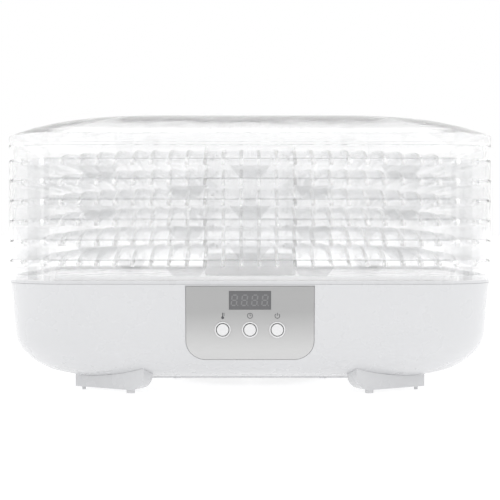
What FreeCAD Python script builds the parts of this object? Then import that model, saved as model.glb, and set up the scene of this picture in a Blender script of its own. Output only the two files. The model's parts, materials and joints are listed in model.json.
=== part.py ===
import FreeCAD, Part
import math
import os

# Food dehydrator: a powered base, six stacked clear trays and a clear domed lid.
# Frame: millimetres, +Z up, +X to the right, the control panel faces -Y.
# The origin is on the table, under the centre of the body.

Vector = FreeCAD.Vector
X_AXIS = Vector(1, 0, 0)
Y_AXIS = Vector(0, 1, 0)
Z_AXIS = Vector(0, 0, 1)

# ---- overall size ----
body_length = 370.0
body_depth = 270.0
corner_radius = 49.0
slide_gap = 0.3            # between stacked pieces that lift off each other

# ---- base ----
shell_bottom = 10.5        # underside of the shell's rim
shell_top = 84.4
shell_wall = 2.8
shell_inset = 1.0          # the base is this much slimmer than the trays, all round
shell_draft = 3.0          # inward lean of the upright part of the wall
curve_width = 56.0         # the rounded lower edge is a quarter ellipse
curve_height = 38.0
corner_tuck = 0.45         # how fast the plan corners tighten towards the bottom
opening_inset = 10.0       # service opening, measured in from the flat underside's edge
deck_seam = 0.2            # line between the shell and the deck
deck_thickness = 2.4
deck_lip_height = 3.4
deck_skirt_depth = 4.6
deck_skirt_wall = 2.0
cover_thickness = 2.2
cover_overlap = 6.0        # how far the bottom cover reaches past the service opening
part_gap = 0.1             # small gap between seated pieces

# ---- feet, placed by how far they lie in from the body's side and from its front or back ----
foot_clearance = 3.0       # height of the foot blocks above the table
foot_width = 13.0
foot_inner = (101.0, 32.0) # the bar's two ends
foot_outer = (57.0, 57.0)
foot_overrun = 5.0         # how far the bar runs on past both ends
foot_round = 12.0          # round at the bar's inner end, seen from the side
peg_place = (79.0, 44.5)
peg_radius = 2.5
peg_reach = 4.0            # peg inside the shell
pad_place = (94.0, 35.5)
pad_radius = 3.3
pad_socket = 3.0
nib_place = (55.5, 57.5)
nib_radius = 1.5

# ---- trays ----
tray_count = 6
tray_pitch = 15.0
tray_wall = 2.0
collar_inset = 3.5
collar_wall = 1.8
collar_clearance = 0.6     # between a collar's top and the ribs of the tray above
collar_rib_width = 1.2
collar_rib_depth = 0.8
collar_rib_spread = 3.0
shoulder_thickness = 1.8
band_width = 12.0          # flat border round the domed floor
rim_wall = 1.6             # upright wall at the border's inner edge
rib_height = 4.8
rib_width = 2.6
rib_pitch = 13.3
bar_width = 1.8
bar_height = 2.6
bar_pitch = 13.3
floor_crown = 11.0         # rise of the floor from its border to its middle
crown_power = 4.5
lug_inset = 7.0
lug_thickness = 2.0
lug_top_width = 31.0
lug_bottom_width = 15.5
lug_clearance = 0.8        # between a lug's tip and the border of the tray below
lug_end_inset = 73.0       # outer lugs of the three-lug side, in from the tray's ends
lug_near = 47.0            # lugs on the two-lug side: -near, near
chimney_radius = 38.0
chimney_wall = 1.8
chimney_gap = 4.2          # air slot between one tray's chimney ring and the next

# ---- lid ----
lid_wall = 2.2
lid_rim_height = 8.5
lid_crown = 19.6
lid_flange = 8.0
lid_tab_width = 11.7
lid_tab_inset = 92.2       # tabs, in from the lid's ends
lid_tab_reach = 5.1
lid_tab_thickness = 1.8
lid_tab_clearance = 0.5    # between the tabs and the top tray's collar
lid_tab_head = 0.8         # how far a tab's head reaches past it, all round
vent_width = 5.0
vent_pitch = 9.0
vent_bridge = 8.5
vent_end_inset = 114.0     # the oval of slots, in from the lid's ends
vent_side_inset = 89.0

# ---- control panel, hung from the top of the shell ----
panel_half_width = 47.1
panel_drop = 1.4           # from the shell's top down to the panel's top edge
panel_height = 55.0
panel_corner = 14.5
panel_proud = 0.4
panel_depth = 1.4
panel_gap = 0.35
window_width = 30.8
window_height = 13.6
window_drop = 11.75        # from the shell's top down to the window's middle
window_proud = 0.1
module_width = 30.1
module_height = 14.0
module_depth = 8.0
board_front = 13.5         # the control board's front face, in from the body's front
board_thickness = 1.6
board_half_width = 46.0
board_height = 39.0
board_drop = 4.9           # from the shell's top down to the board's top
button_names = ("temp", "time", "power")
button_pitch = 20.1
button_drop = 33.6         # from the shell's top down to the buttons' middles
button_radius = 4.35
button_proud = 2.0
button_travel = 1.2
button_flange_grip = 1.65  # how far the flange behind the wall is wider than the cap
button_flange = 1.0
stem_radius = 1.7
stem_clearance = 0.3
stem_engagement = 0.4      # stem inside the switch's well, beyond its travel
bezel_clearance = 0.55     # between a cap and its ring
bezel_width = 1.1
bezel_proud = 0.9
switch_size = 6.0
switch_depth = 3.5
standoff_radius = 3.0

# ---- fan, motor and heater ----
duct_radius = 62.0
duct_wall = 2.0
bracket_level = 16.0
bracket_thickness = 1.5
bracket_post_inset = 10.0  # posts, in from the duct's bore
motor_radius = 30.0
motor_height = 22.0
motor_wall = 1.2
shaft_radius = 2.5
clip_outer = 4.5
clip_inner = 1.9
clip_thickness = 0.8
clip_drop = 1.5            # the clip's underside below the shaft's end
bearing_radius = 6.5
bearing_length = 4.0
running_gap = 0.05
rotor_radius = 13.0
rotor_air_gap = 0.5
stator_inset = 7.0         # stator core, in from the motor's two ends
yoke_width = 7.0
pole_half_width = 6.0
coil_half = 9.0
coil_width = 3.0
impeller_tip_gap = 4.0     # between the blade tips and the duct
impeller_hub = 9.0
impeller_height = 16.0
impeller_clearance = 4.0   # above the motor
shaft_stub = 2.5           # shaft above the impeller's hub, with a groove for the clip
heater_clearance = 2.5     # above the shaft's end
blade_count = 7
blade_chord = 26.0
blade_thickness = 1.6
blade_pitch_angle = 30.0
heater_inset = 16.0        # mica plates, in from the duct's bore
heater_height = 15.0
mica_thickness = 1.0
coil_wire = 0.6
coil_pitch = 3.0
heater_foot = 2.0
shield_wall = 0.6
shield_overlap = 1.0       # shield past the heater, above and below
thermostat_radius = 8.0
thermostat_length = 9.0
blade_spread = 4.0         # its two terminals, either side of the middle
blade_tab = 7.0
blade_tab_width = 6.0
nose_radius = 5.6
nose_length = 4.0
nose_gap = 0.4             # round the thermostat's nose, through duct and shield
fuse_radius = 2.0
fuse_half = 6.0
fuse_lead = 6.0
sensor_inset = 9.6         # sensor, in from the duct's bore
sensor_radius = 2.0
grille_seat = 18.0         # flat ring outside the chimney spigot
grille_slot = 4.0
grille_bar = 2.6

# ---- power board ----
power_board_gap = 8.0      # between the fan duct and the board
power_board_lift = 5.0
power_board_width = 38.0
power_board_half_depth = 38.0
board_hole_inset = 4.0

# ---- fasteners and mains inlet ----
screw_radius = 1.5
screw_head_radius = 2.9
screw_head = 1.6
post_radius = 4.0
post_inset = 10.0          # deck posts, in from the service opening's edges
boss_height = 10.0         # screw bosses on the shell's floor
board_screw_bite = 6.0     # screw length inside a standoff
gland_place = (65.0, 26.4)      # on the back wall: in from the right side, down from the top
gland_bore = 3.6
gland_body = 6.0
gland_flange = 8.0
gland_flange_thickness = 2.0
gland_reach = 20.0
gland_tail = 9.0           # bush behind the wall's outer face
gland_lip = 2.8            # its inner flange
gland_slack = 0.7          # between the wall and the bush's flanges

# ---- worked-out levels ----
half_length = body_length / 2
half_depth = body_depth / 2
opening_half_x = half_length - shell_inset - shell_draft - curve_width - opening_inset
opening_half_y = half_depth - shell_inset - shell_draft - curve_width - opening_inset
deck_bottom = shell_top + deck_seam
deck_top = deck_bottom + deck_thickness
food_gap = tray_pitch - rib_height
collar_height = food_gap - collar_clearance
lug_height = food_gap - lug_clearance
chimney_rise = food_gap - chimney_gap
stack_top = deck_top + tray_count * tray_pitch
lid_bottom = stack_top + collar_height + slide_gap
lid_shoulder = lid_bottom + lid_rim_height
cover_top = shell_bottom - part_gap
cover_bottom = cover_top - cover_thickness
curve_top = shell_bottom + curve_height
front = -half_depth
motor_bottom = bracket_level + bracket_thickness
motor_top = motor_bottom + motor_height
impeller_bottom = motor_top + impeller_clearance
shaft_top = impeller_bottom + impeller_height + shaft_stub
heater_level = shaft_top + heater_clearance
power_board_level = cover_top + power_board_lift
power_board_x = duct_radius + power_board_gap
duct_bore = duct_radius - duct_wall
bracket_post_circle = duct_bore - bracket_post_inset
impeller_radius = duct_bore - impeller_tip_gap
heater_radius = duct_bore - heater_inset
grille_radius = chimney_radius + grille_seat
panel_top = shell_top - panel_drop
panel_bottom = panel_top - panel_height
window_centre = shell_top - window_drop
button_height = shell_top - button_drop
board_top = shell_top - board_drop
board_bottom = board_top - board_height
button_flange_radius = button_radius + button_flange_grip
bezel_inner = button_radius + bezel_clearance
bezel_outer = bezel_inner + bezel_width
gland_x = half_length - gland_place[0]
gland_z = shell_top - gland_place[1]
lug_far = half_length - lug_end_inset
lid_tab_x = half_length - lid_tab_inset
vent_half_length = half_length - vent_end_inset
vent_half_depth = half_depth - vent_side_inset


def box(x0, x1, y0, y1, z0, z1):
    return Part.makeBox(x1 - x0, y1 - y0, z1 - z0, Vector(x0, y0, z0))


def rod(x, y, z0, z1, radius):
    return Part.makeCylinder(radius, z1 - z0, Vector(x, y, z0), Z_AXIS)


def tube(x, y, z0, z1, outer, inner):
    hollow = rod(x, y, z0 - 1, z1 + 1, inner)
    return rod(x, y, z0, z1, outer).cut(hollow)


def rod_y(x, z, y0, y1, radius):
    return Part.makeCylinder(radius, y1 - y0, Vector(x, y0, z), Y_AXIS)


def rounded_wire(half_x, half_y, radius, z):
    """A rounded rectangle about the Z axis, as four lines and four arcs."""
    inner_x = half_x - radius
    inner_y = half_y - radius
    edges = []
    for quarter in range(4):
        turn = quarter * 90
        sign_x = (1, -1, -1, 1)[quarter]
        sign_y = (1, 1, -1, -1)[quarter]
        centre = Vector(sign_x * inner_x, sign_y * inner_y, z)
        arc = Part.makeCircle(radius, centre, Z_AXIS, turn, turn + 90)
        edges.append(arc)
        if quarter % 2 == 0:
            start = Vector(sign_x * inner_x, sign_y * half_y, z)
            end = Vector(-sign_x * inner_x, sign_y * half_y, z)
        else:
            start = Vector(sign_x * half_x, sign_y * inner_y, z)
            end = Vector(sign_x * half_x, -sign_y * inner_y, z)
        edges.append(Part.makeLine(start, end))
    return Part.Wire(edges)


def slab(half_x, half_y, radius, z0, z1):
    face = Part.Face(rounded_wire(half_x, half_y, radius, z0))
    return face.extrude(Vector(0, 0, z1 - z0))


def body_slab(inset, z0, z1):
    """The body's plan outline, brought in by inset, as a solid between two levels."""
    radius = max(corner_radius - inset, tray_wall)
    return slab(half_length - inset, half_depth - inset, radius, z0, z1)


def body_ring(inset, wall, z0, z1):
    return body_slab(inset, z0, z1).cut(body_slab(inset + wall, z0 - 1, z1 + 1))


def join(first, others):
    return first.fuse(others)


# ---- base shell ----

def shell_section(skin, inset, z):
    """One plan outline of the base, a skin's depth inside its outer surface."""
    radius = corner_radius - corner_tuck * inset - skin
    half_x = half_length - inset - skin
    half_y = half_depth - inset - skin
    return rounded_wire(half_x, half_y, radius, z)


def shell_loft(skin, top):
    """The base's outer form, or with a skin above zero, the form inside the wall."""
    sections = []
    for step in range(4):
        share = step / 4
        z = top + (curve_top - top) * share
        inset = shell_inset + shell_draft * (shell_top - z) / (shell_top - curve_top)
        sections.append(shell_section(skin, inset, z))
    for angle in range(0, 91, 15):
        lean = math.radians(angle)
        z = curve_top - (curve_height - skin) * math.sin(lean)
        spread = (curve_width - skin) * (1 - math.cos(lean))
        inset = shell_inset + shell_draft + spread
        sections.append(shell_section(skin, inset, z))
    return Part.makeLoft(sections, True, False)


def wall_y(z, skin):
    """The front wall's Y at a height on its upright part, a skin's depth inside it."""
    inset = shell_inset + shell_draft * (shell_top - z) / (shell_top - curve_top)
    return front + inset + skin


def corners():
    return [(side_x, side_y) for side_y in (-1, 1) for side_x in (-1, 1)]


def under_corner(corner, place):
    """X and Y of a place given by its insets from the side and from the front or back."""
    return corner[0] * (half_length - place[0]), corner[1] * (half_depth - place[1])


def foot_bar(corner):
    """A bar under one corner, rounded at its inner end, running up into the shell's form."""
    inner = Vector(*under_corner(corner, foot_inner), 0)
    outer = Vector(*under_corner(corner, foot_outer), 0)
    start = -foot_overrun - foot_round / 4
    end = (outer - inner).Length + foot_overrun
    low = foot_clearance
    slant = foot_round * (1 - math.sqrt(0.5))
    points = [Vector(start, 0, curve_top), Vector(start, 0, low + foot_round)]
    points.append(Vector(start + slant, 0, low + slant))
    points.append(Vector(start + foot_round, 0, low))
    points.append(Vector(end, 0, low))
    points.append(Vector(end, 0, curve_top))
    edges = [Part.makeLine(points[0], points[1])]
    edges.append(Part.Arc(points[1], points[2], points[3]).toShape())
    edges.append(Part.makeLine(points[3], points[4]))
    edges.append(Part.makeLine(points[4], points[5]))
    edges.append(Part.makeLine(points[5], points[0]))
    bar = Part.Face(Part.Wire(edges)).extrude(Vector(0, foot_width, 0))
    bar.translate(Vector(0, -foot_width / 2, 0))
    angle = math.degrees(math.atan2(outer.y - inner.y, outer.x - inner.x))
    bar.rotate(Vector(0, 0, 0), Z_AXIS, angle)
    bar.translate(inner)
    return bar


def foot_blocks():
    """Four bars that fit the shell's curved underside, each with a nib, a socket and a peg."""
    form = shell_loft(-part_gap, shell_top)
    blocks = []
    for corner in corners():
        x, y = under_corner(corner, pad_place)
        socket = rod(x, y, 0, foot_clearance + pad_socket, pad_radius)
        x, y = under_corner(corner, nib_place)
        nib = rod(x, y, 0, foot_clearance + 1, nib_radius)
        x, y = under_corner(corner, peg_place)
        peg = rod(x, y, foot_clearance + 1, shell_bottom + shell_wall + peg_reach, peg_radius)
        blocks.append(foot_bar(corner).cut(form).fuse([nib, peg]).cut(socket))
    return Part.makeCompound(blocks)


def foot_pads():
    top = foot_clearance + pad_socket - part_gap
    pads = []
    for corner in corners():
        x, y = under_corner(corner, pad_place)
        pads.append(rod(x, y, 0, top, pad_radius - part_gap))
    return Part.makeCompound(pads)


def panel_prism(grow):
    """The control panel's front outline, grown by a gap, running front to back."""
    side = panel_half_width + grow
    top = panel_top + grow
    bottom = panel_bottom - grow
    radius = panel_corner + grow
    y = front - 10
    low_left = Vector(-side + radius, y, bottom)
    low_right = Vector(side - radius, y, bottom)
    right = Vector(side, y, bottom + radius)
    left = Vector(-side, y, bottom + radius)
    slant = radius * (1 - math.sqrt(0.5))
    right_mid = Vector(side - slant, y, bottom + slant)
    left_mid = Vector(-side + slant, y, bottom + slant)
    top_right = Vector(side, y, top)
    top_left = Vector(-side, y, top)
    edges = [Part.makeLine(low_left, low_right)]
    edges.append(Part.Arc(low_right, right_mid, right).toShape())
    edges.append(Part.makeLine(right, top_right))
    edges.append(Part.makeLine(top_right, top_left))
    edges.append(Part.makeLine(top_left, left))
    edges.append(Part.Arc(left, left_mid, low_left).toShape())
    return Part.Face(Part.Wire(edges)).extrude(Vector(0, half_depth - 10, 0))


def window_block(grow, y0, y1):
    half = window_width / 2 + grow
    low = window_centre - window_height / 2 - grow
    high = window_centre + window_height / 2 + grow
    return box(-half, half, y0, y1, low, high)


def button_x(index):
    return (index - 1) * button_pitch


def board_standoffs():
    places = []
    side = board_half_width - board_hole_inset
    for x in (-side, side):
        for z in (board_bottom + board_hole_inset + 1, board_top - board_hole_inset):
            places.append((x, z))
    return places


def shell_posts():
    """Standoffs behind the front wall, and bosses round the service opening."""
    standoffs = []
    for x, z in board_standoffs():
        standoffs.append(rod_y(x, z, front, front + board_front, standoff_radius))
    inside = standoffs[0].fuse(standoffs[1:]).common(shell_loft(shell_wall / 2, shell_top))
    bosses = []
    for x, y in cover_screw_places():
        bosses.append(rod(x, y, shell_bottom + 1, shell_bottom + boss_height, post_radius))
    return [inside] + bosses


def panel_cuts():
    """The panel's shallow pocket, the window's opening and the three button holes."""
    inner = front + board_front
    cuts = [panel_prism(panel_gap).cut(shell_loft(panel_depth + part_gap * 2, shell_top))]
    cuts.append(window_block(panel_gap, front, inner))
    for index in range(3):
        hole = bezel_inner + bezel_clearance - part_gap
        cuts.append(rod_y(button_x(index), button_height, front, inner, hole))
    return cuts


def base_shell():
    body = shell_loft(0, shell_top).cut(shell_loft(shell_wall, shell_top + 1))
    body = join(body, shell_posts())
    opening_radius = corner_radius / 3
    cuts = [slab(opening_half_x, opening_half_y, opening_radius, shell_bottom - 1, curve_top)]
    cuts.extend(panel_cuts())
    for corner in corners():
        x, y = under_corner(corner, peg_place)
        cuts.append(rod(x, y, shell_bottom - 1, curve_top, peg_radius + part_gap))
    for x, y in cover_screw_places():
        cuts.append(rod(x, y, shell_bottom - 1, shell_bottom + boss_height - 1, screw_radius))
    for x, z in board_standoffs():
        depth = board_front - board_screw_bite - 1
        cuts.append(rod_y(x, z, front + depth, front + board_front + 1, screw_radius))
    cuts.append(rod_y(gland_x, gland_z, half_depth - gland_reach, half_depth, gland_body))
    return body.cut(cuts)


def cover_screw_places():
    across = opening_half_y + cover_overlap / 2
    along = opening_half_x + cover_overlap / 2
    places = [(-along, 0), (along, 0)]
    for x in (-opening_half_x / 2, opening_half_x / 2):
        for y in (-across, across):
            places.append((x, y))
    return places


# ---- deck and outlet ----

def post_places():
    x = opening_half_x - post_inset
    y = opening_half_y - post_inset
    return [(side_x * x, side_y * y) for side_x, side_y in corners()]


def top_deck():
    plate = body_slab(shell_inset, deck_bottom, deck_top)
    lip = body_ring(collar_inset, collar_wall, deck_top - 1, deck_top + deck_lip_height)
    skirt_inset = shell_inset + shell_wall + slide_gap
    skirt_bottom = deck_bottom - deck_skirt_depth
    skirt = body_ring(skirt_inset + shell_draft / 4, deck_skirt_wall, skirt_bottom, deck_bottom + 1)
    parts = [lip, skirt]
    for x, y in post_places():
        parts.append(rod(x, y, cover_top + part_gap, deck_bottom + 1, post_radius))
    deck = join(plate, parts)
    cuts = [rod(0, 0, deck_bottom - 1, deck_top + 1, grille_radius + part_gap)]
    for x, y in post_places():
        cuts.append(rod(x, y, cover_top, cover_top + 14, screw_radius))
    return deck.cut(cuts)


def outlet_grille():
    """Round insert in the deck: a ringed grille inside a short chimney spigot."""
    bore = chimney_radius - chimney_wall
    seat = tube(0, 0, deck_bottom, deck_top, grille_radius, bore)
    spigot_top = deck_top + tray_pitch + floor_crown - rib_height - chimney_gap
    parts = [tube(0, 0, deck_bottom, spigot_top, chimney_radius, bore)]
    hub = grille_bar * 2
    parts.append(rod(0, 0, deck_bottom, deck_top, hub))
    inner = hub + grille_slot
    while inner + grille_bar < bore:
        parts.append(tube(0, 0, deck_bottom, deck_top, inner + grille_bar, inner))
        inner = inner + grille_slot + grille_bar
    reach = chimney_radius - chimney_wall / 2
    for turn in range(0, 180, 45):
        spoke = box(-reach, reach, -grille_bar / 2, grille_bar / 2, deck_bottom, deck_top)
        spoke.rotate(Vector(0, 0, 0), Z_AXIS, turn)
        parts.append(spoke)
    return join(seat, parts)


def bottom_cover():
    half_x = opening_half_x + cover_overlap
    half_y = opening_half_y + cover_overlap
    plate = slab(half_x, half_y, corner_radius / 2, cover_bottom, cover_top)
    reach = duct_radius - 6
    cuts = []
    y = -reach + grille_slot * 2
    while y < reach - grille_slot:
        chord = math.sqrt(reach * reach - y * y)
        for left, right in ((-chord, -grille_bar), (grille_bar, chord)):
            cuts.append(box(left, right, y, y + grille_slot, cover_bottom - 1, cover_top + 1))
        y = y + grille_slot * 2
    plate = plate.cut(cuts)
    parts = []
    for x, y in bracket_posts():
        parts.append(rod(x, y, cover_bottom, bracket_level, post_radius))
    for x, y in power_board_posts():
        parts.append(rod(x, y, cover_bottom, power_board_level, standoff_radius))
    plate = join(plate, parts)
    holes = []
    for x, y in bracket_posts():
        holes.append(rod(x, y, cover_top, bracket_level + 1, screw_radius))
    for x, y in power_board_posts():
        holes.append(rod(x, y, cover_top, power_board_level + 1, screw_radius))
    for x, y in cover_screw_places() + post_places():
        holes.append(rod(x, y, cover_bottom - 1, cover_top + 1, screw_radius + part_gap))
        holes.append(rod(x, y, cover_bottom - 1, cover_bottom + 1, screw_head_radius + part_gap))
    return plate.cut(holes)


# ---- control panel ----

def control_panel():
    skin = shell_loft(-panel_proud, shell_top).cut(shell_loft(panel_depth, shell_top + 1))
    panel = skin.common(panel_prism(0))
    cuts = [window_block(part_gap, front - 1, front + 20)]
    for index in range(3):
        cuts.append(rod_y(button_x(index), button_height, front - 1, front + 20, bezel_outer + part_gap))
    return panel.cut(cuts)


def display_window():
    skin = shell_loft(-window_proud, shell_top).cut(shell_loft(panel_depth, shell_top + 1))
    return skin.common(window_block(0, front - 1, front + 20))


def display_module():
    back = front + board_front
    half = module_width / 2
    low = window_centre - module_height / 2
    return box(-half, half, back - module_depth, back, low, low + module_height)


def button_bezel(index):
    """A small ring that stands proud of the panel round one button."""
    face = wall_y(button_height, 0)
    y0 = face - bezel_proud
    y1 = wall_y(button_height + bezel_outer, panel_depth + part_gap)
    outer = rod_y(button_x(index), button_height, y0, y1, bezel_outer)
    inner = rod_y(button_x(index), button_height, y0 - 1, y1 + 1, bezel_inner)
    ring = outer.cut(inner)
    return ring.makeFillet(bezel_proud / 3, front_edges(ring, y0))


def front_edges(shape, y):
    found = []
    for edge in shape.Edges:
        if edge.BoundBox.YMax < y + 0.01 and edge.BoundBox.YLength < 0.01:
            found.append(edge)
    return found


def push_button(index):
    """Cap, retaining flange behind the wall and a stem into the switch."""
    x = button_x(index)
    face = wall_y(button_height, 0) - button_proud
    flange = wall_y(button_height - button_flange_radius, shell_wall + slide_gap)
    board = front + board_front
    stem_end = board - switch_depth + button_travel + stem_engagement
    cap = rod_y(x, button_height, face, flange + button_flange, button_radius)
    cap = cap.makeFillet(0.6, front_edges(cap, face))
    disc = rod_y(x, button_height, flange, flange + button_flange, button_flange_radius)
    stem = rod_y(x, button_height, flange, stem_end, stem_radius)
    return join(cap, [disc, stem])


def control_board():
    y = front + board_front
    plate = box(-board_half_width, board_half_width, y, y + board_thickness, board_bottom, board_top)
    holes = []
    for x, z in board_standoffs():
        holes.append(rod_y(x, z, y - 1, y + board_thickness + 1, screw_radius + part_gap))
    return plate.cut(holes)


def push_switch(index):
    """A square tactile switch with a well that the button's stem runs in."""
    x = button_x(index)
    y = front + board_front
    half = switch_size / 2
    body = box(x - half, x + half, y - switch_depth, y, button_height - half, button_height + half)
    well = rod_y(x, button_height, y - switch_depth - 1, y - 0.5, stem_radius + stem_clearance)
    return body.cut(well)


# ---- airflow ----

def bracket_posts():
    places = []
    for angle in (45, 135, 225, 315):
        turn = math.radians(angle)
        places.append((bracket_post_circle * math.cos(turn), bracket_post_circle * math.sin(turn)))
    return places


def thermostat_bore():
    start = Vector(duct_radius - nose_length * 2, 0, heater_level + heater_height / 2)
    return Part.makeCylinder(nose_radius + nose_gap, nose_length * 3, start, X_AXIS)


def fan_duct():
    low = cover_top + part_gap
    high = deck_bottom - part_gap
    return tube(0, 0, low, high, duct_radius, duct_bore).cut(thermostat_bore())


def heat_shield():
    outer = duct_bore - slide_gap
    top = heater_level + heater_height + shield_overlap
    body = tube(0, 0, heater_level - heater_foot - shield_overlap, top, outer, outer - shield_wall)
    return body.cut(thermostat_bore())


def motor_bracket():
    reach = duct_bore - slide_gap
    top = bracket_level + bracket_thickness
    plate = rod(0, 0, bracket_level, top, motor_radius)
    arms = []
    for turn in (45, 135):
        arm = box(-reach, reach, -post_radius - 1, post_radius + 1, bracket_level, top)
        arm.rotate(Vector(0, 0, 0), Z_AXIS, turn)
        arms.append(arm)
    plate = join(plate, arms).common(rod(0, 0, bracket_level - 1, top + 1, reach))
    holes = [rod(0, 0, bracket_level - 1, top + 1, bearing_radius + 1)]
    for x, y in bracket_posts():
        holes.append(rod(x, y, bracket_level - 1, top + 1, screw_radius + part_gap))
    return plate.cut(holes)


def motor_can():
    outer = rod(0, 0, motor_bottom + motor_wall, motor_top, motor_radius)
    inner = rod(0, 0, motor_bottom, motor_top - motor_wall, motor_radius - motor_wall)
    seat = rod(0, 0, motor_top - bearing_length - 1, motor_top, bearing_radius + motor_wall)
    hole = rod(0, 0, motor_bottom, motor_top + 1, bearing_radius)
    return outer.cut(inner).fuse(seat).cut(hole)


def motor_end_plate():
    plate = rod(0, 0, motor_bottom, motor_bottom + motor_wall, motor_radius)
    seat = rod(0, 0, motor_bottom, motor_bottom + bearing_length + 1, bearing_radius + motor_wall)
    hole = rod(0, 0, motor_bottom - 1, motor_bottom + bearing_length + 2, bearing_radius)
    return plate.fuse(seat).cut(hole)


def motor_bearing(z0):
    return tube(0, 0, z0, z0 + bearing_length, bearing_radius, shaft_radius + running_gap)


def stator_core():
    low = motor_bottom + stator_inset
    high = motor_top - stator_inset
    bore = rotor_radius + rotor_air_gap
    ring = tube(0, 0, low, high, motor_radius - motor_wall - part_gap, motor_radius - yoke_width)
    poles = []
    for turn in (0, 90):
        reach = motor_radius - yoke_width / 2
        pole = box(-reach, reach, -pole_half_width, pole_half_width, low, high)
        pole.rotate(Vector(0, 0, 0), Z_AXIS, turn)
        poles.append(pole)
    return join(ring, poles).cut(rod(0, 0, low - 1, high + 1, bore))


def stator_windings():
    """Four coils, one round each pole."""
    low = motor_bottom + stator_inset
    high = motor_top - stator_inset
    coils = []
    for turn in range(0, 360, 90):
        outer = motor_radius - yoke_width - coil_width
        coil = box(rotor_radius + 2, outer, -coil_half, coil_half, low - coil_width, high + coil_width)
        pole_half = pole_half_width + part_gap
        pole = box(rotor_radius, motor_radius, -pole_half, pole_half, low - part_gap, high + part_gap)
        coil = coil.cut(pole)
        coil.rotate(Vector(0, 0, 0), Z_AXIS, turn)
        coils.append(coil)
    return Part.makeCompound(coils)


def motor_rotor():
    low = motor_bottom + stator_inset - rotor_air_gap
    high = motor_top - stator_inset + rotor_air_gap
    return tube(0, 0, low, high, rotor_radius, shaft_radius)


def clip_groove(outer):
    """The ring of space that the clip fills, out to a radius."""
    return tube(0, 0, shaft_top - clip_drop, shaft_top - clip_drop + clip_thickness, outer, clip_inner)


def motor_shaft():
    shaft = rod(0, 0, motor_bottom - 1, shaft_top, shaft_radius)
    return shaft.cut(clip_groove(shaft_radius + 1))


def fan_clip():
    mouth = box(0, clip_outer + 1, -1, 1, shaft_top - clip_drop - 1, shaft_top)
    return clip_groove(clip_outer).cut(mouth)


def fan_impeller():
    hub = rod(0, 0, impeller_bottom, impeller_bottom + impeller_height, impeller_hub)
    middle = impeller_bottom + impeller_height / 2
    blades = []
    for number in range(blade_count):
        blade = box(impeller_hub / 2, impeller_radius + 2, -blade_chord / 2, blade_chord / 2,
                    -blade_thickness / 2, blade_thickness / 2)
        blade.rotate(Vector(0, 0, 0), X_AXIS, blade_pitch_angle)
        blade.translate(Vector(0, 0, middle))
        blade.rotate(Vector(0, 0, 0), Z_AXIS, number * 360 / blade_count)
        blades.append(blade)
    limit = rod(0, 0, impeller_bottom, impeller_bottom + impeller_height, impeller_radius)
    wheel = join(hub, blades).common(limit)
    return wheel.cut(rod(0, 0, impeller_bottom - 1, impeller_bottom + impeller_height + 1, shaft_radius))


def heater_frame():
    """Two crossed mica plates, with feet that reach the heat shield."""
    top = heater_level + heater_height
    reach = duct_bore - slide_gap * 2 - shield_wall
    half = mica_thickness / 2
    plates = []
    for turn in (45, 135):
        upper = box(-heater_radius, heater_radius, -half, half, heater_level, top)
        foot = box(-reach, reach, -half, half, heater_level - heater_foot, heater_level)
        plate = upper.fuse(foot)
        plate.rotate(Vector(0, 0, 0), Z_AXIS, turn)
        plates.append(plate)
    return plates[0].fuse(plates[1])


def heater_coil():
    radius = heater_radius + coil_wire + slide_gap
    height = math.floor((heater_height - coil_pitch) / coil_pitch) * coil_pitch
    path = Part.Wire(Part.makeHelix(coil_pitch, height, radius))
    section = Part.Wire(Part.makeCircle(coil_wire, Vector(radius, 0, 0), Y_AXIS))
    coil = path.makePipeShell([section], True, True)
    coil.translate(Vector(0, 0, heater_level + coil_pitch / 2))
    return coil


def thermostat():
    """A round case on the duct's side, its nose inside the hot air, with two blade terminals."""
    z = heater_level + heater_height / 2
    start = duct_radius + part_gap
    end = start + thermostat_length
    body = Part.makeCylinder(thermostat_radius, thermostat_length, Vector(start, 0, z), X_AXIS)
    nose_start = Vector(start - nose_length, 0, z)
    nose = Part.makeCylinder(nose_radius, nose_length + 1, nose_start, X_AXIS)
    blades = []
    for y in (-blade_spread, blade_spread):
        low = z - blade_tab_width / 2
        blades.append(box(end - 1, end + blade_tab, y - 0.4, y + 0.4, low, low + blade_tab_width))
    return join(body, [nose] + blades)


def thermal_fuse():
    """An upright capsule beside the duct, with a lead at each end and a clip to the wall."""
    z = heater_level + heater_height / 2
    x = -duct_radius - fuse_radius * 2
    capsule = rod(x, 0, z - fuse_half, z + fuse_half, fuse_radius)
    lead = rod(x, 0, z - fuse_half - fuse_lead, z + fuse_half + fuse_lead, fuse_radius / 4)
    wall_side = -duct_radius - slide_gap * 4
    saddle = box(x + fuse_radius / 2, wall_side, -fuse_half / 2, fuse_half / 2, z - 4, z + 4)
    return join(capsule, [lead, saddle])


def temp_sensor():
    place = (duct_bore - sensor_inset) * math.sqrt(0.5)
    return rod(place, place, heater_level + 3, deck_bottom - part_gap, sensor_radius)


# ---- power board ----

def power_board_posts():
    places = []
    right = power_board_x + power_board_width - board_hole_inset
    back = power_board_half_depth - board_hole_inset
    for x in (power_board_x + board_hole_inset, right):
        for y in (-back, back):
            places.append((x, y))
    return places


def power_board():
    low = power_board_level
    high = low + board_thickness
    back = power_board_half_depth
    plate = box(power_board_x, power_board_x + power_board_width, -back, back, low, high)
    holes = []
    for x, y in power_board_posts():
        holes.append(rod(x, y, low - 1, high + 1, screw_radius + part_gap))
    return plate.cut(holes)


def on_power_board(x0, y0, width, depth, height):
    low = power_board_level + board_thickness
    x = power_board_x + x0
    block = box(x, x + width, y0, y0 + depth, low, low + height)
    return block.makeFillet(1.0, block.Edges[:4])


def terminal_block():
    block = on_power_board(10, 24, 20, 9, 11)
    low = power_board_level + board_thickness
    holes = []
    for step in range(3):
        x = power_board_x + 13.5 + step * 6.5
        holes.append(rod(x, 28.5, low + 6, low + 12, 1.6))
    return block.cut(holes)


# ---- mains inlet ----

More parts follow.
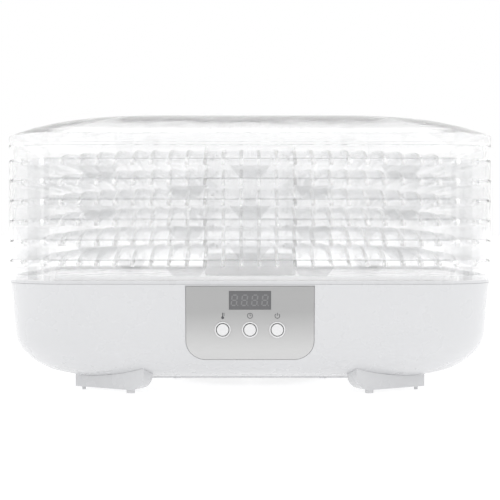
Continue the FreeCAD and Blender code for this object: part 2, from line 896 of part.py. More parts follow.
def cord_gland():
    """Rubber bush in the back wall; the mains lead would pass through it."""
    wall_out = -wall_y(gland_z, 0)
    wall_in = wall_out - shell_wall
    flange_back = wall_out + gland_slack
    flange_end = flange_back + gland_flange_thickness
    lip_end = wall_in - gland_slack
    outer = rod_y(gland_x, gland_z, flange_back, flange_end, gland_flange)
    body = rod_y(gland_x, gland_z, wall_out - gland_tail, flange_back + 1, gland_body - part_gap)
    inner = rod_y(gland_x, gland_z, lip_end - gland_lip, lip_end, gland_flange)
    bore = rod_y(gland_x, gland_z, wall_out - gland_reach, flange_end + 1, gland_bore)
    return join(outer, [body, inner]).cut(bore)


# ---- screws ----

def screw_up(x, y, head_z, length):
    """A pan-head screw driven upwards, with its head at the lower end."""
    head = rod(x, y, head_z, head_z + screw_head, screw_head_radius)
    shank = rod(x, y, head_z, head_z + length, screw_radius - part_gap)
    return head.fuse(shank)


def screw_down(x, y, seat_z, length):
    head = rod(x, y, seat_z, seat_z + screw_head, screw_head_radius)
    shank = rod(x, y, seat_z - length, seat_z + screw_head, screw_radius - part_gap)
    return head.fuse(shank)


def cover_screws():
    head_z = cover_bottom + 1 - screw_head
    return Part.makeCompound([screw_up(x, y, head_z, 9) for x, y in cover_screw_places()])


def deck_screws():
    head_z = cover_bottom + 1 - screw_head
    return Part.makeCompound([screw_up(x, y, head_z, 14) for x, y in post_places()])


def bracket_screws():
    seat = bracket_level + bracket_thickness
    return Part.makeCompound([screw_down(x, y, seat, 6) for x, y in bracket_posts()])


def power_board_screws():
    seat = power_board_level + board_thickness
    return Part.makeCompound([screw_down(x, y, seat, 5) for x, y in power_board_posts()])


def control_board_screws():
    screws = []
    seat = front + board_front + board_thickness
    length = board_thickness + board_screw_bite - 1
    for x, z in board_standoffs():
        head = rod_y(x, z, seat, seat + screw_head, screw_head_radius)
        shank = rod_y(x, z, seat - length, seat + screw_head, screw_radius - part_gap)
        screws.append(head.fuse(shank))
    return Part.makeCompound(screws)


# ---- trays ----

def crown(share):
    """Height share of the domed floor at a distance share from its middle."""
    return 1 - abs(share) ** crown_power


def curved_strip(reach, domed_half, rise, top, height, width):
    """A strip with a domed top and underside, along Y and centred on the origin."""
    shares = (-1, -0.9, -0.78, -0.62, -0.4, 0, 0.4, 0.62, 0.78, 0.9, 1)
    upper = [Vector(0, domed_half * share, top + rise * crown(share)) for share in shares]
    lower = [point - Vector(0, 0, height) for point in reversed(upper)]
    curve_up = Part.BSplineCurve()
    curve_up.interpolate(upper)
    curve_down = Part.BSplineCurve()
    curve_down.interpolate(lower)
    left_top = Vector(0, -reach, top)
    right_top = Vector(0, reach, top)
    right_low = Vector(0, reach, top - height)
    left_low = Vector(0, -reach, top - height)
    edges = [Part.makeLine(left_top, upper[0])]
    edges.append(curve_up.toShape())
    edges.append(Part.makeLine(upper[-1], right_top))
    edges.append(Part.makeLine(right_top, right_low))
    edges.append(Part.makeLine(right_low, lower[0]))
    edges.append(curve_down.toShape())
    edges.append(Part.makeLine(lower[-1], left_low))
    edges.append(Part.makeLine(left_low, left_top))
    strip = Part.Face(Part.Wire(edges)).extrude(Vector(width, 0, 0))
    strip.translate(Vector(-width / 2, 0, 0))
    return strip


def tray_grid():
    """Domed floor: tall ribs front to back, crossed by lower bars side to side."""
    domed_x = half_length - band_width
    domed_y = half_depth - band_width
    ribs = []
    x = rib_pitch / 2
    while x < domed_x - rib_width:
        rise = floor_crown * crown(x / domed_x)
        for side in (-1, 1):
            reach = half_depth - tray_wall / 2
            rib = curved_strip(reach, domed_y, rise, tray_pitch, rib_height, rib_width)
            rib.translate(Vector(side * x, 0, 0))
            ribs.append(rib)
        x = x + rib_pitch
    bars = []
    count = math.floor((domed_y - bar_width) / bar_pitch)
    for number in range(-count, count + 1):
        y = number * bar_pitch
        rise = floor_crown * crown(y / domed_y)
        drop = (rib_height - bar_height) / 2
        bar = curved_strip(domed_x + rim_wall, domed_x, rise, tray_pitch - drop, bar_height, bar_width)
        bar.rotate(Vector(0, 0, 0), Z_AXIS, 90)
        bar.translate(Vector(0, y, 0))
        bars.append(bar)
    grid = ribs[0].fuse(ribs[1:] + bars)
    grid = grid.common(body_slab(tray_wall / 2, 0, tray_pitch * 3))
    hole = rod(0, 0, 0, tray_pitch * 3, chimney_radius - chimney_wall / 2)
    return grid.cut(hole)


def lug(x, side):
    """A trapezoid tab that hangs from the floor's border, inside the tray below."""
    y = side * (half_depth - lug_inset)
    high = tray_pitch - rib_height
    low = high - lug_height
    points = [Vector(x - lug_top_width / 2, y, tray_pitch - 1)]
    points.append(Vector(x + lug_top_width / 2, y, tray_pitch - 1))
    points.append(Vector(x + lug_top_width / 2, y, high))
    points.append(Vector(x + lug_bottom_width / 2, y, low))
    points.append(Vector(x - lug_bottom_width / 2, y, low))
    points.append(Vector(x - lug_top_width / 2, y, high))
    points.append(points[0])
    face = Part.Face(Part.makePolygon(points))
    return face.extrude(Vector(0, -side * lug_thickness, 0))


def lug_places():
    """X and side of each lug: three along one long side, two along the other."""
    places = [(x, -1) for x in (-lug_far, 0, lug_far)]
    return places + [(x, 1) for x in (-lug_near, lug_near)]


def collar_ribs(x, side):
    """A pair of thin upright ribs on the collar's outer face."""
    outer = half_depth - collar_inset + collar_rib_depth
    inner = half_depth - collar_inset - collar_wall / 2
    ribs = []
    for shift in (-collar_rib_spread / 2, collar_rib_spread / 2):
        low = min(side * inner, side * outer)
        high = max(side * inner, side * outer)
        left = x + shift - collar_rib_width / 2
        top = tray_pitch + collar_height - 1
        ribs.append(box(left, left + collar_rib_width, low, high, tray_pitch - 1, top))
    return ribs


def tray_blank():
    """One tray, standing with its skirt's lower edge at the level of the piece below."""
    skirt = body_ring(0, tray_wall, slide_gap, tray_pitch)
    shoulder_low = tray_pitch - shoulder_thickness
    parts = [body_ring(tray_wall / 2, band_width - tray_wall / 2, shoulder_low, tray_pitch)]
    parts.append(body_ring(band_width - rim_wall, rim_wall, tray_pitch - rib_height, tray_pitch))
    parts.append(body_ring(collar_inset, collar_wall, tray_pitch - 1, tray_pitch + collar_height))
    top = tray_pitch + floor_crown
    bore = chimney_radius - chimney_wall
    parts.append(tube(0, 0, top - rib_height, top + chimney_rise, chimney_radius, bore))
    for x, side in lug_places():
        parts.append(lug(x, side))
        parts.extend(collar_ribs(x, side))
    parts.append(tray_grid())
    return join(skirt, parts)


def place_tray(blank, number):
    """Trays alternate end for end, and the top one has its three lugs at the front."""
    tray = blank.copy()
    if (tray_count - number) % 2 == 1:
        tray.rotate(Vector(0, 0, 0), Z_AXIS, 180)
    tray.translate(Vector(0, 0, deck_top + (number - 1) * tray_pitch))
    return tray


# ---- lid ----

def lid_form(skin):
    """The lid's outer dome with a skin of 0, or the space inside its wall."""
    sections = []
    base = lid_shoulder
    rise = lid_crown - skin
    for level in (0, 0.12, 0.26, 0.42, 0.58, 0.73, 0.86, 0.94, 0.985):
        share = (1 - level) ** (1 / crown_power)
        half_x = (half_length - skin) * share
        half_y = (half_depth - skin) * share
        radius = (corner_radius - skin) * (0.35 + 0.65 * share)
        sections.append(rounded_wire(half_x, half_y, radius, base + rise * level))
    dome = Part.makeLoft(sections, True, False)
    bottom = lid_bottom if skin == 0 else lid_bottom - 1
    rim = body_slab(skin, bottom, base)
    return rim.fuse(dome)


def lid_vents():
    """Parallel slots either side of a bridge, inside an oval."""
    slots = []
    x = vent_bridge + vent_width / 2
    while x < vent_half_length - vent_width / 2:
        share = (x / vent_half_length) ** 2
        half = vent_half_depth * math.sqrt(1 - share)
        for side in (-1, 1):
            middle = side * x
            slot = box(middle - vent_width / 2, middle + vent_width / 2, -half, half,
                       lid_shoulder, lid_shoulder + lid_crown + 5)
            slots.append(slot)
        x = x + vent_pitch
    return slots


def tab_block(corner, grow, low, high):
    """The outline of one locating tab, just inside the top tray's collar, between two levels."""
    x = corner[0] * lid_tab_x
    inset = collar_inset + collar_wall + lid_tab_clearance
    middle = corner[1] * (half_depth - inset - lid_tab_thickness / 2)
    half_x = lid_tab_width / 2 + grow
    half_y = lid_tab_thickness / 2 + grow
    return box(x - half_x, x + half_x, middle - half_y, middle + half_y, low, high)


def lid_tabs():
    """Four tabs pushed down through the lid's flange, each held by a wider head."""
    top = lid_shoulder - part_gap
    head_low = lid_bottom + lid_wall + part_gap
    tabs = []
    for corner in corners():
        tab = tab_block(corner, 0, lid_bottom - lid_tab_reach, top)
        head = tab_block(corner, lid_tab_head, head_low, head_low + lid_tab_thickness)
        tabs.append(tab.fuse(head))
    return Part.makeCompound(tabs)


def lid():
    shell = lid_form(0).cut(lid_form(lid_wall))
    flange = body_ring(lid_wall / 2, lid_flange - lid_wall / 2, lid_bottom, lid_bottom + lid_wall)
    slots = [tab_block(corner, part_gap, lid_bottom - 1, lid_shoulder) for corner in corners()]
    return join(shell, [flange.cut(slots)]).cut(lid_vents())


# ---- export ----

def save(name, shape):
    kinds = [solid.isValid() for solid in shape.Solids]
    print(name, len(shape.Solids), all(kinds), round(shape.Volume / 1000, 2))
    shape.exportStep("parts/" + name + ".step")


def save_base():
    save("base_shell", base_shell())
    save("top_deck", top_deck())
    save("outlet_grille", outlet_grille())
    save("bottom_cover", bottom_cover())
    save("foot_blocks", foot_blocks())
    save("foot_pads", foot_pads())
    save("control_panel", control_panel())
    save("display_window", display_window())
    save("display_module", display_module())
    save("control_board", control_board())
    for index, name in enumerate(button_names):
        save(name + "_button_bezel", button_bezel(index))
        save(name + "_button", push_button(index))
        save(name + "_switch", push_switch(index))


def save_airflow():
    save("fan_duct", fan_duct())
    save("heat_shield", heat_shield())
    save("motor_bracket", motor_bracket())
    save("motor_can", motor_can())
    save("motor_end_plate", motor_end_plate())
    save("motor_bearing_upper", motor_bearing(motor_top - bearing_length))
    save("motor_bearing_lower", motor_bearing(motor_bottom))
    save("stator_core", stator_core())
    save("stator_windings", stator_windings())
    save("motor_rotor", motor_rotor())
    save("motor_shaft", motor_shaft())
    save("fan_impeller", fan_impeller())
    save("fan_clip", fan_clip())
    save("heater_frame", heater_frame())
    save("heater_coil", heater_coil())
    save("thermostat", thermostat())
    save("thermal_fuse", thermal_fuse())
    save("temp_sensor", temp_sensor())


def save_electrics():
    save("power_board", power_board())
    save("relay", on_power_board(4, -8, 16, 19, 15))
    save("transformer", on_power_board(9, -30, 22, 20, 17))
    save("filter_capacitor", on_power_board(24, -6, 8, 18, 14))
    save("terminal_block", terminal_block())
    save("cord_gland", cord_gland())
    save("cover_screws", cover_screws())
    save("deck_screws", deck_screws())
    save("bracket_screws", bracket_screws())
    save("control_board_screws", control_board_screws())
    save("power_board_screws", power_board_screws())


def save_stack():
    blank = tray_blank()
    for number in range(1, tray_count + 1):
        save("tray_" + str(number), place_tray(blank, number))
    save("lid", lid())
    save("lid_tabs", lid_tabs())


def main():
    os.makedirs("parts", exist_ok=True)
    save_base()
    save_airflow()
    save_electrics()
    save_stack()


main()
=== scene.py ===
import json
import math

import bmesh
import bpy
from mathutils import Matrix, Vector


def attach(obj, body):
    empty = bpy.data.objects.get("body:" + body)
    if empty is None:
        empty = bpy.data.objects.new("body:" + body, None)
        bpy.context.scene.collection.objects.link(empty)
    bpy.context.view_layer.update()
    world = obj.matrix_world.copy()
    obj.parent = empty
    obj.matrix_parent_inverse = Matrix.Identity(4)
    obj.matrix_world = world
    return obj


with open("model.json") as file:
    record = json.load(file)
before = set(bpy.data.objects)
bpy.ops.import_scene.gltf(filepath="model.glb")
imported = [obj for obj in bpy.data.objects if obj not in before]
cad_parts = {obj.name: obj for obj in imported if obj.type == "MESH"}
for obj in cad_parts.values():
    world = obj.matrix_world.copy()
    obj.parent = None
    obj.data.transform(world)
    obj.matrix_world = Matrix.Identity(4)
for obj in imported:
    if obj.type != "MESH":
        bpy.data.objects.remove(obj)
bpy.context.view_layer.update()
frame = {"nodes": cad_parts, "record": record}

MM = 0.001
NODES = frame["nodes"]

# ---- sizes of the object, in metres ----
DECK_TOP = 0.087
DECK_EDGE = 0.0868         # the deck's own face and all above it get a lighter tone: painted light that lifts the shade there under the trays
TRAY_PITCH = 0.015
TRAYS_END = 6.01           # just past the top tray, counted in trays
LID_TOP = 0.2005           # the lid's rounded top starts here
RIB_PITCH = 0.0133
RIB_HALF = 0.1             # half a rib's width, as a share of the pitch

# ---- where a tray's features lie: out from the middle, and up as a share of the tray pitch ----
RIB_END_DEPTH = (0.123, 0.136)
RIB_END_LEVEL = (0.68, 1.0)
COLLAR_RIB_DEPTH = (0.13165, 0.1325)
COLLAR_RIB_LEVEL = (0.0, 0.6)
LUG_DEPTH = (0.1259, 0.1281)
LUG_LEVEL = (0.02, 0.66)
SKIRT_DEPTH = (0.1337, 0.136)
SKIRT_SIDE = (0.1837, 0.186)
BETWEEN_SEAMS = (0.045, 0.965)

# ---- the leaning front wall and what is printed on it, in millimetres ----
BODY_FRONT = -135.0
SHELL_INSET = 1.0          # the base is this much slimmer than the trays
SHELL_TOP = 84.4
WALL_HEIGHT = 35.9         # upright part of the wall
WALL_DRAFT = 3.0           # how far it leans in over that height
FILM_FRONT = 0.06          # a print's front and back faces, either side of its level
FILM_BACK = 0.04
DISPLAY_LEVEL = 72.65
BUTTON_PITCH = 20.1
ICON_LEVEL = 61.2


# ---- camera ----

def make_camera():
    """A long lens at about half the stack's height, looking level at the front."""
    data = bpy.data.cameras.new("camera")
    data.sensor_width = 36.0
    data.lens = 88.5
    data.clip_start = 0.05
    data.clip_end = 20.0
    camera = bpy.data.objects.new("camera", data)
    camera.location = (0.0, -1.035, 0.125)
    camera.rotation_euler = (math.radians(90.0 - 0.98), 0.0, 0.0)
    bpy.context.scene.collection.objects.link(camera)
    bpy.context.scene.camera = camera


# ---- node helpers ----

class Shader:
    """A material's node tree, built with short calls."""

    def __init__(self, name):
        self.material = bpy.data.materials.new(name)
        self.material.use_nodes = True
        self.tree = self.material.node_tree
        self.tree.nodes.clear()
        self.output = self.add("ShaderNodeOutputMaterial")

    def add(self, kind, **settings):
        node = self.tree.nodes.new(kind)
        for key, value in settings.items():
            setattr(node, key, value)
        return node

    def link(self, source, target):
        self.tree.links.new(source, target)

    def value(self, node, **sockets):
        for key, value in sockets.items():
            node.inputs[key.replace("_", " ")].default_value = value
        return node

    def position(self):
        return self.add("ShaderNodeTexCoord").outputs["Object"]

    def axes(self):
        """The position's X, Y and Z, as separate outputs."""
        parts = self.add("ShaderNodeSeparateXYZ")
        self.link(self.position(), parts.inputs["Vector"])
        return parts.outputs

    def noise(self, scale, detail=3.0, roughness=0.5):
        node = self.add("ShaderNodeTexNoise")
        self.value(node, Scale=scale, Detail=detail, Roughness=roughness)
        self.link(self.position(), node.inputs["Vector"])
        return node.outputs["Fac"]

    def spread(self, source, low, high):
        """source, a number about 0.5, spread out between low and high."""
        node = self.add("ShaderNodeMapRange")
        self.value(node, From_Min=0.3, From_Max=0.7, To_Min=low, To_Max=high)
        self.link(source, node.inputs["Value"])
        return node.outputs["Result"]

    def math(self, operation, first, second=None):
        """An arithmetic node; each argument is a number or a socket."""
        node = self.add("ShaderNodeMath", operation=operation)
        for slot, argument in enumerate((first, second)):
            if isinstance(argument, (int, float)):
                node.inputs[slot].default_value = argument
            elif argument is not None:
                self.link(argument, node.inputs[slot])
        return node.outputs["Value"]

    def between(self, source, low, high):
        """1 where source lies between two values, and 0 outside them."""
        above = self.math("GREATER_THAN", source, low)
        return self.math("MULTIPLY", above, self.math("LESS_THAN", source, high))

    def all_of(self, first, *others):
        for other in others:
            first = self.math("MULTIPLY", first, other)
        return first

    def bump(self, source, strength, distance):
        node = self.add("ShaderNodeBump")
        self.value(node, Strength=strength, Distance=distance)
        self.link(source, node.inputs["Height"])
        return node.outputs["Normal"]

    def blend(self, factor, first, second):
        """Two colours mixed by a factor."""
        node = self.add("ShaderNodeMix", data_type="RGBA")
        self.link(factor, node.inputs["Factor"])
        node.inputs["A"].default_value = (*first, 1.0)
        node.inputs["B"].default_value = (*second, 1.0)
        return node.outputs["Result"]

    def principled(self, color, roughness, metallic=0.0):
        node = self.add("ShaderNodeBsdfPrincipled")
        self.value(node, Base_Color=(*color, 1.0), Roughness=roughness, Metallic=metallic)
        self.link(node.outputs["BSDF"], self.output.inputs["Surface"])
        return node


def moulded(name, color, roughness, grain=0.02, metallic=0.0, coat=0.0, deck_painted_light_color=None):
    """Moulded plastic or paint: faint tone drift, uneven gloss and a fine skin texture.

    The deck tone, where given, is painted light: a lighter tone from the deck upwards that lifts the
    shade there.
    """
    shader = Shader(name)
    surface = shader.principled(color, roughness, metallic)
    drift = shader.noise(9.0, 2.0)
    darker = tuple(channel * 0.965 for channel in color)
    tone = shader.blend(shader.spread(drift, 0.0, 1.0), darker, color)
    if deck_painted_light_color:
        # painted light: from the deck upwards the tone turns to the lighter deck tone
        on_deck = shader.math("GREATER_THAN", shader.axes()["Z"], DECK_EDGE)
        deck = shader.blend(on_deck, color, deck_painted_light_color)
        shader.link(tone, deck.node.inputs["A"])
        tone = deck
    shader.link(tone, surface.inputs["Base Color"])
    gloss = shader.noise(45.0, 4.0)
    shader.link(shader.spread(gloss, roughness * 0.85, roughness * 1.15), surface.inputs["Roughness"])
    skin = shader.noise(900.0, 2.0)
    shader.link(shader.bump(skin, grain, 0.0002), surface.inputs["Normal"])
    surface.inputs["Coat Weight"].default_value = coat
    surface.inputs["Coat Roughness"].default_value = 0.08
    return shader.material


def brushed(name, color, roughness, stretch):
    """Metal with fine drawn lines along one direction."""
    shader = Shader(name)
    surface = shader.principled(color, roughness, 1.0)
    mapping = shader.add("ShaderNodeMapping")
    mapping.inputs["Scale"].default_value = stretch
    shader.link(shader.position(), mapping.inputs["Vector"])
    lines = shader.add("ShaderNodeTexNoise")
    shader.value(lines, Scale=400.0, Detail=3.0)
    shader.link(mapping.outputs["Vector"], lines.inputs["Vector"])
    gloss = shader.spread(lines.outputs["Fac"], roughness * 0.7, roughness * 1.3)
    shader.link(gloss, surface.inputs["Roughness"])
    shader.link(shader.bump(lines.outputs["Fac"], 0.1, 0.0001), surface.inputs["Normal"])
    return shader.material


def tray_masks(shader):
    """Masks over a tray for painted light: a painted highlight on the ends of ribs, painted shade on the
    faces of lugs and the lines where trays meet.
    """
    axes = shader.axes()
    side = shader.math("ABSOLUTE", axes["X"])
    depth = shader.math("ABSOLUTE", axes["Y"])
    up = shader.math("DIVIDE", shader.math("SUBTRACT", axes["Z"], DECK_TOP), TRAY_PITCH)
    level = shader.math("FRACT", up)
    on_tray = shader.math("LESS_THAN", up, TRAYS_END)
    across = shader.math("FRACT", shader.math("DIVIDE", side, RIB_PITCH))

    def zone(depths, levels):
        return shader.all_of(shader.between(depth, *depths), shader.between(level, *levels))

    near_rib = shader.between(across, 0.5 - RIB_HALF, 0.5 + RIB_HALF)
    rib_end = shader.all_of(near_rib, zone(RIB_END_DEPTH, RIB_END_LEVEL), on_tray)
    collar_rib = zone(COLLAR_RIB_DEPTH, COLLAR_RIB_LEVEL)
    lug = shader.all_of(zone(LUG_DEPTH, LUG_LEVEL), on_tray)
    skirt = shader.math("MAXIMUM", shader.between(depth, *SKIRT_DEPTH), shader.between(side, *SKIRT_SIDE))
    near_seam = shader.math("SUBTRACT", 1.0, shader.between(level, *BETWEEN_SEAMS))
    seam = shader.all_of(skirt, near_seam, on_tray)
    return shader.math("MAXIMUM", rib_end, collar_rib), lug, seam


def lid_shade(shader):
    """How much painted shade darkens the lid's clear domed top where it is seen edge on."""
    facing = shader.add("ShaderNodeLayerWeight")
    facing.inputs["Blend"].default_value = 0.5
    edge = shader.math("POWER", facing.outputs["Facing"], 3.0)
    on_lid = shader.math("GREATER_THAN", shader.axes()["Z"], LID_TOP)
    return shader.math("MULTIPLY", shader.math("MULTIPLY", edge, on_lid), 0.95)


def clear_plastic(name, color, milk, roughness):
    """Clear moulded styrene with a trace of milkiness; lamps shine straight through it. Painted shade
    greys its lugs, the lines where trays meet and the lid's edge-on top; a painted highlight clouds rib
    ends white.
    """
    lug_painted_shade = 0.42
    rib_end_highlight_milk = 0.22
    painted_shade_color = (0.5, 0.505, 0.51)
    shader = Shader(name)
    surface = shader.principled(color, roughness)
    gloss = shader.noise(40.0, 3.0)
    shader.link(shader.spread(gloss, roughness * 0.6, roughness * 1.6), surface.inputs["Roughness"])
    rib_end, lug, seam = tray_masks(shader)
    # painted shade: lugs, the lines where trays meet and the lid's edge-on top are greyed towards the
    # shade colour
    shade = shader.math("MAXIMUM", shader.math("MULTIPLY", lug, lug_painted_shade), seam)
    shade = shader.math("MAXIMUM", shade, lid_shade(shader))
    shader.link(shader.blend(shade, color, painted_shade_color), surface.inputs["Base Color"])
    # painted highlight: the rib ends are clouded white so that they read light
    rib_end_highlight = shader.math("MULTIPLY", rib_end, rib_end_highlight_milk)
    clearness = shader.math("SUBTRACT", 1.0 - milk, rib_end_highlight)
    shader.link(clearness, surface.inputs["Transmission Weight"])
    surface.inputs["IOR"].default_value = 1.45
    straight = shader.add("ShaderNodeBsdfTransparent")
    straight.inputs["Color"].default_value = (0.99, 0.99, 0.99, 1.0)
    path = shader.add("ShaderNodeLightPath")
    mix = shader.add("ShaderNodeMixShader")
    shader.link(path.outputs["Is Shadow Ray"], mix.inputs[0])
    shader.link(surface.outputs["BSDF"], mix.inputs[1])
    shader.link(straight.outputs["BSDF"], mix.inputs[2])
    shader.link(mix.outputs["Shader"], shader.output.inputs["Surface"])
    return shader.material


def panel_metal(name):
    """Satin silver film, paler below than above as a painted reflection of the bright floor, with a fine
    grain along X.
    """
    pale_level = 0.034
    full_level = 0.064
    pale = (0.56, 0.56, 0.56)
    full = (0.36, 0.36, 0.36)
    shader = Shader(name)
    surface = shader.principled(full, 0.36, 0.35)
    # painted reflection of the bright floor: the tone pales low on the panel
    painted_reflection_fade = shader.add("ShaderNodeMapRange")
    shader.value(painted_reflection_fade, From_Min=pale_level, From_Max=full_level)
    shader.link(shader.axes()["Z"], painted_reflection_fade.inputs["Value"])
    shader.link(shader.blend(painted_reflection_fade.outputs["Result"], pale, full), surface.inputs["Base Color"])
    grain = shader.add("ShaderNodeTexNoise")
    shader.value(grain, Scale=500.0, Detail=2.0)
    stretch = shader.add("ShaderNodeMapping")
    stretch.inputs["Scale"].default_value = (0.06, 1.0, 1.0)
    shader.link(shader.position(), stretch.inputs["Vector"])
    shader.link(stretch.outputs["Vector"], grain.inputs["Vector"])
    shader.link(shader.spread(grain.outputs["Fac"], 0.3, 0.42), surface.inputs["Roughness"])
    return shader.material


def make_materials():
    return {
        "clear_plastic": clear_plastic("clear_plastic", (0.984, 0.985, 0.987), 0.03, 0.05),
        "white_plastic": moulded("white_plastic", (0.61, 0.614, 0.626), 0.28, 0.015, coat=0.2,
                                 deck_painted_light_color=(0.93, 0.93, 0.935)),
        "white_button": moulded("white_button", (0.7, 0.7, 0.705), 0.3),
        "silver_panel": panel_metal("silver_panel"),
        "display_tint": moulded("display_tint", (0.12, 0.12, 0.125), 0.12, 0.005),
        "black_plastic": moulded("black_plastic", (0.03, 0.03, 0.032), 0.45),
        "grey_plastic": moulded("grey_plastic", (0.2, 0.21, 0.22), 0.45),
        "circuit_board": moulded("circuit_board", (0.03, 0.2, 0.08), 0.3),
        "rubber": moulded("rubber", (0.66, 0.66, 0.67), 0.7, 0.06),
        "galvanised_steel": brushed("galvanised_steel", (0.6, 0.62, 0.64), 0.4, (1.0, 1.0, 12.0)),
        "steel": brushed("steel", (0.7, 0.7, 0.72), 0.25, (1.0, 1.0, 30.0)),
        "copper": brushed("copper", (0.75, 0.36, 0.18), 0.35, (1.0, 1.0, 40.0)),
        "heating_wire": brushed("heating_wire", (0.4, 0.37, 0.35), 0.45, (1.0, 1.0, 20.0)),
        "mica": moulded("mica", (0.5, 0.41, 0.27), 0.4, 0.05),
        "component_tan": moulded("component_tan", (0.62, 0.42, 0.14), 0.4),
    }


def dress_nodes(materials):
    for entry in frame["record"]["subparts"]:
        mesh = NODES[entry["node"]].data
        mesh.materials.clear()
        mesh.materials.append(materials[entry["material_slot"]])


# ---- print on the panel ----

def panel_point(x, z, proud):
    """A point on the leaning front wall, in metres, from X and Z in millimetres."""
    face = BODY_FRONT + SHELL_INSET + WALL_DRAFT * (SHELL_TOP - z) / WALL_HEIGHT
    return Vector((x, face - proud, z)) * MM


def print_shapes(name, outlines, proud, material):
    """Flat outlines, each a list of (x, z) points, laid on the front wall as a thin film."""
    form = bmesh.new()
    for outline in outlines:
        front = [form.verts.new(panel_point(x, z, proud + FILM_FRONT)) for x, z in outline]
        back = [form.verts.new(panel_point(x, z, proud - FILM_BACK)) for x, z in outline]
        form.faces.new(front)
        form.faces.new(back[::-1])
        for step in range(len(outline)):
            after = (step + 1) % len(outline)
            form.faces.new((front[step], back[step], back[after], front[after]))
    bmesh.ops.recalc_face_normals(form, faces=form.faces)
    mesh = bpy.data.meshes.new(name)
    form.to_mesh(mesh)
    form.free()
    mesh.materials.append(material)
    piece = bpy.data.objects.new(name, mesh)
    bpy.context.scene.collection.objects.link(piece)
    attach(piece, "base")


def arc_strip(x, z, radius, width, start, end):
    """Quads along an arc, angles in degrees from +X towards +Z."""
    step_angle = 15
    count = max(4, int((end - start) / step_angle))
    quads = []
    for step in range(count):
        corners = []
        for share, reach in ((0, -0.5), (0, 0.5), (1, 0.5), (1, -0.5)):
            angle = math.radians(start + (end - start) * (step + share) / count)
            far = radius + reach * width
            corners.append((x + far * math.cos(angle), z + far * math.sin(angle)))
        quads.append(corners)
    return quads


def bar_strip(x0, z0, x1, z1, width):
    """One straight stroke as a quad."""
    along = Vector((x1 - x0, z1 - z0)).normalized() * (width / 2)
    aside = (-along.y, along.x)
    return [(x0 + aside[0], z0 + aside[1]), (x1 + aside[0], z1 + aside[1]),
            (x1 - aside[0], z1 - aside[1]), (x0 - aside[0], z0 - aside[1])]


def square(x, z, half):
    """A small square dot."""
    return [(x - half, z - half), (x + half, z - half), (x + half, z + half), (x - half, z + half)]


def digit_strokes(half_width, half_height):
    """The seven strokes of one figure, each from one end to the other."""
    inset = 0.6
    gap = 0.5
    strokes = []
    for z in (-half_height, 0.0, half_height):
        strokes.append((-half_width + inset, z, half_width - inset, z))
    for x in (-half_width, half_width):
        strokes.append((x, gap, x, half_height - gap))
        strokes.append((x, -half_height + gap, x, -gap))
    return strokes


def display_digits(material):
    """Four unlit seven-segment figures with their points, leaning to the right."""
    half_width = 1.9
    half_height = 3.8
    lean = 0.12
    pitch = 7.5
    shift = -0.3           # room for the last figure's point
    stroke_width = 1.0
    dot_gap = 1.1
    dot_half = 0.4
    outlines = []
    for place in range(4):
        middle = (place - 1.5) * pitch + shift
        for stroke in digit_strokes(half_width, half_height):
            quad = bar_strip(*stroke, stroke_width)
            outlines.append([(middle + x + z * lean, DISPLAY_LEVEL + z) for x, z in quad])
        dot_x = middle + half_width + dot_gap - half_height * lean
        outlines.append(square(dot_x, DISPLAY_LEVEL - half_height, dot_half))
    print_shapes("display_digits", outlines, 0.1, material)


def thermometer(x, z):
    """A bulb, its stem and three marks beside it."""
    outlines = arc_strip(x, z - 1.4, 0.55, 1.0, 0, 360)
    outlines.append(bar_strip(x, z - 1.0, x, z + 2.2, 0.7))
    for step in range(3):
        mark = z + 0.2 + step * 0.8
        outlines.append(bar_strip(x + 0.7, mark, x + 1.5, mark, 0.35))
    return outlines


def clock(x, z):
    """A dial with two hands."""
    outlines = arc_strip(x, z, 1.9, 0.45, 0, 360)
    outlines.append(bar_strip(x, z - 0.2, x, z + 1.3, 0.42))
    outlines.append(bar_strip(x - 0.1, z, x + 1.0, z, 0.42))
    return outlines


def power_sign(x, z):
    """An open ring with a stroke in its gap."""
    outlines = arc_strip(x, z - 0.1, 1.75, 0.5, 125, 415)
    outlines.append(bar_strip(x, z, x, z + 2.2, 0.5))
    return outlines


def button_icons(material):
    """A thermometer, a clock and a power sign above the three buttons."""
    proud = 0.4
    print_shapes("icon_temperature", thermometer(-BUTTON_PITCH, ICON_LEVEL), proud, material)
    print_shapes("icon_time", clock(0.0, ICON_LEVEL), proud, material)
    print_shapes("icon_power", power_sign(BUTTON_PITCH, ICON_LEVEL), proud, material)


# ---- stage ----

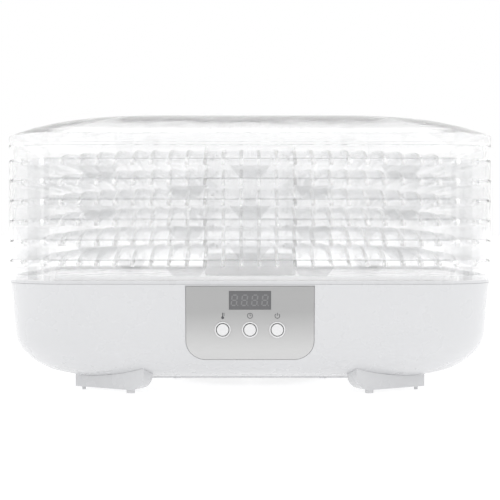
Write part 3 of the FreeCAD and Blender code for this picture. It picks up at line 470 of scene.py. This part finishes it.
def make_stage():
    """A plain pale light table that runs out of sight."""
    half_width = 40.0
    front = -20.0
    back = 60.0
    glow = 0.72
    mesh = bpy.data.meshes.new("floor")
    form = bmesh.new()
    corners = ((-half_width, front), (half_width, front), (half_width, back), (-half_width, back))
    form.faces.new([form.verts.new((x, y, 0.0)) for x, y in corners])
    form.to_mesh(mesh)
    form.free()
    floor = bpy.data.objects.new("floor", mesh)
    bpy.context.scene.collection.objects.link(floor)
    shader = Shader("floor")
    darker = (0.445, 0.445, 0.445)
    lighter = (0.455, 0.455, 0.455)
    surface = shader.principled(lighter, 0.6)
    shader.link(shader.blend(shader.noise(3.0, 2.0), darker, lighter), surface.inputs["Base Color"])
    surface.inputs["Emission Color"].default_value = (1.0, 1.0, 1.0, 1.0)
    surface.inputs["Emission Strength"].default_value = glow
    surface.inputs["Specular IOR Level"].default_value = 0.2
    mesh.materials.append(shader.material)


def area_light(name, place, target, size, power):
    data = bpy.data.lights.new(name, "AREA")
    data.shape = "RECTANGLE"
    data.size, data.size_y = size
    data.energy = power
    light = bpy.data.objects.new(name, data)
    light.location = place
    light.rotation_euler = (Vector(target) - Vector(place)).to_track_quat("-Z", "Y").to_euler()
    bpy.context.scene.collection.objects.link(light)


def make_lights():
    middle = (0.0, 0.0, 0.1)
    area_light("overhead", (0.0, 0.1, 1.8), middle, (2.4, 1.8), 19.0)
    area_light("left_box", (-1.7, -0.7, 0.8), middle, (1.2, 1.4), 2.0)
    area_light("right_box", (1.7, -0.7, 0.8), middle, (1.2, 1.4), 2.0)
    area_light("front_fill", (0.0, -2.6, 1.0), middle, (2.4, 1.0), 1.0)
    world = bpy.data.worlds.new("studio")
    world.use_nodes = True
    background = world.node_tree.nodes["Background"]
    background.inputs["Color"].default_value = (1.0, 1.0, 1.0, 1.0)
    background.inputs["Strength"].default_value = 1.0
    bpy.context.scene.world = world
    bpy.context.scene.view_settings.view_transform = "Standard"


def set_bounces():
    """Enough bounces for light to pass through every wall of the stack."""
    through_stack = 40
    cycles = bpy.context.scene.cycles
    cycles.max_bounces = through_stack
    cycles.transmission_bounces = through_stack
    cycles.glossy_bounces = through_stack
    cycles.diffuse_bounces = 8
    cycles.transparent_max_bounces = 2 * through_stack


make_camera()
make_lights()
set_bounces()
make_stage()
dress_nodes(make_materials())
display_digits(moulded("display_segment", (0.19, 0.19, 0.195), 0.3))
button_icons(moulded("icon_ink", (0.07, 0.07, 0.075), 0.5))
